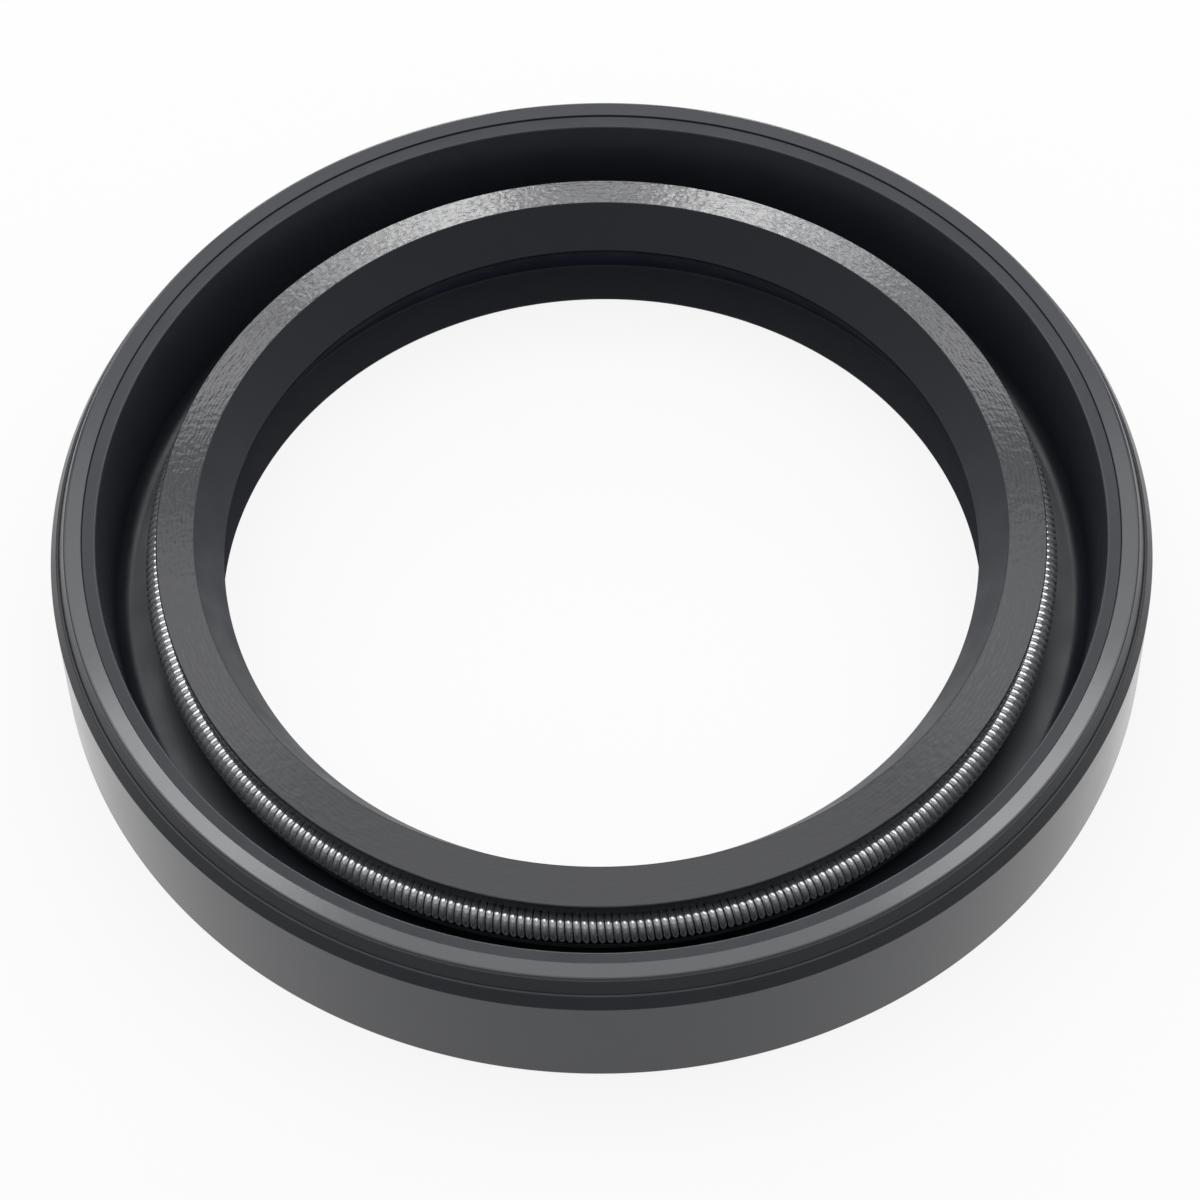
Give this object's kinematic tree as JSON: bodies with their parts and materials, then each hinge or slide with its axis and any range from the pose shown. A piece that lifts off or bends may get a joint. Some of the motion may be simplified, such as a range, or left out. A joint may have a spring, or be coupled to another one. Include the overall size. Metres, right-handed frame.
{
  "type": "radial shaft seal",
  "caption": "Rubber-covered radial shaft seal with a garter spring round its sealing lip, a dust lip at the back and a steel ring moulded inside.",
  "frame": {"origin": "on the seal's axis, in the plane of its flat back (air side) face", "axes": "+Z along the axis, from the back face towards the sprung lip (oil side); X and Y are equal"},
  "size_m": [0.0702, 0.0702, 0.01],
  "materials": {
    "rubber": "moulded black nitrile rubber, satin, with the trimmed lip face duller",
    "ring_steel": "cold-pressed sheet steel, phosphated grey",
    "spring_wire": "drawn spring wire, bright"
  },
  "bodies": {
    "root": {"seal_body": "rubber", "stiffening_ring": "ring_steel", "garter_spring": "spring_wire"}
  },
  "joints": []
}
